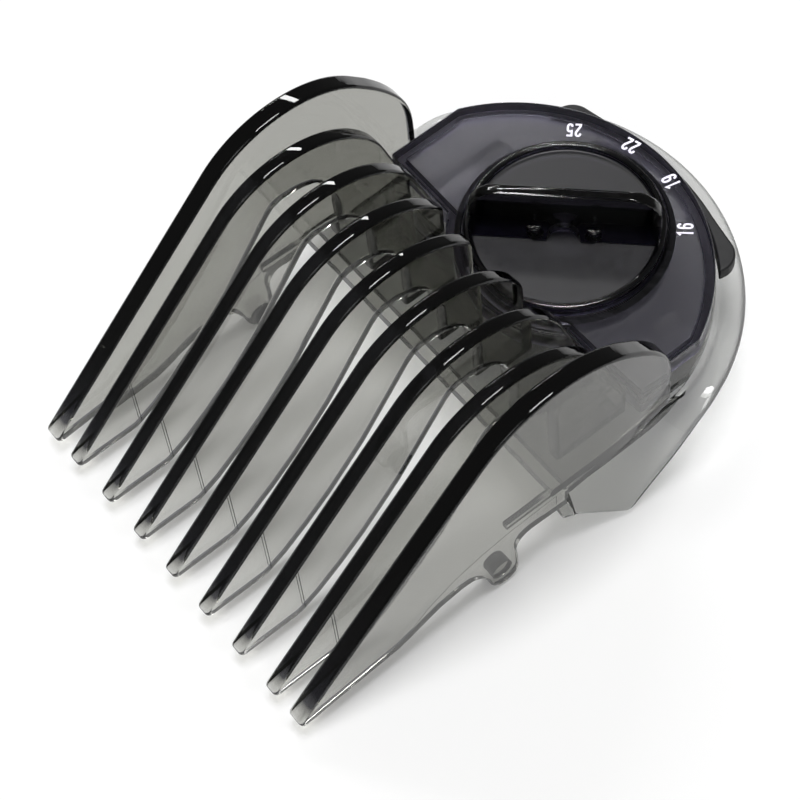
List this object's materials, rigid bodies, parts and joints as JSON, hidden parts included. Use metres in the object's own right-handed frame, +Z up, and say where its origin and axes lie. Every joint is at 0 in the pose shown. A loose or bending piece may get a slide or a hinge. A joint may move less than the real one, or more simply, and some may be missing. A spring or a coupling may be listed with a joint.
{
  "type": "clipper guard comb",
  "caption": "Dial-adjustable clipper guard comb: clear moulded teeth between two side walls, a tinted dial plate and a flared saddle that clips on the clipper head.",
  "frame": {"origin": "on the dial's axis, in the saddle's flat underside, which sits on the clipper head", "axes": "+Z up along the dial's axis, -Y towards the tooth tips, +Y towards the thumb piece, +X to the side where the shortest length is printed"},
  "size_m": [0.0552, 0.0788, 0.0341],
  "materials": {
    "smoke_clear": "clear smoke-tinted moulded plastic, polished",
    "dark_smoke": "dark violet-grey tinted clear plastic, polished",
    "knob_smoke": "near-black plastic, semi-gloss",
    "cam_black": "black acetal, satin",
    "pale_smoke": "pale grey clear plastic, polished",
    "spring_steel": "bright spring steel",
    "soft_grip": "black, satin"
  },
  "bodies": {
    "root": {"comb_body": "smoke_clear", "dial_plate": "dark_smoke", "detent_spring": "spring_steel"},
    "dial": {"dial_knob": "knob_smoke", "cam_disc": "cam_black"},
    "slide": {"saddle": "pale_smoke", "follower_pin": "spring_steel", "thumb_pad": "soft_grip"}
  },
  "joints": [
    {"name": "dial_turn", "type": "hinge", "parent": "root", "child": "dial", "pos_m": [0, 0, 0.008], "axis": [0, 0, 1], "range_deg": [0, 90]},
    {"name": "saddle_slide", "type": "slide", "parent": "root", "child": "slide", "axis": [0, 1, 0], "range_m": [0, 0.009]}
  ],
  "couplings": [
    {"joint": "saddle_slide", "follows": "dial_turn", "m_per_rad": 0.0057295}
  ]
}
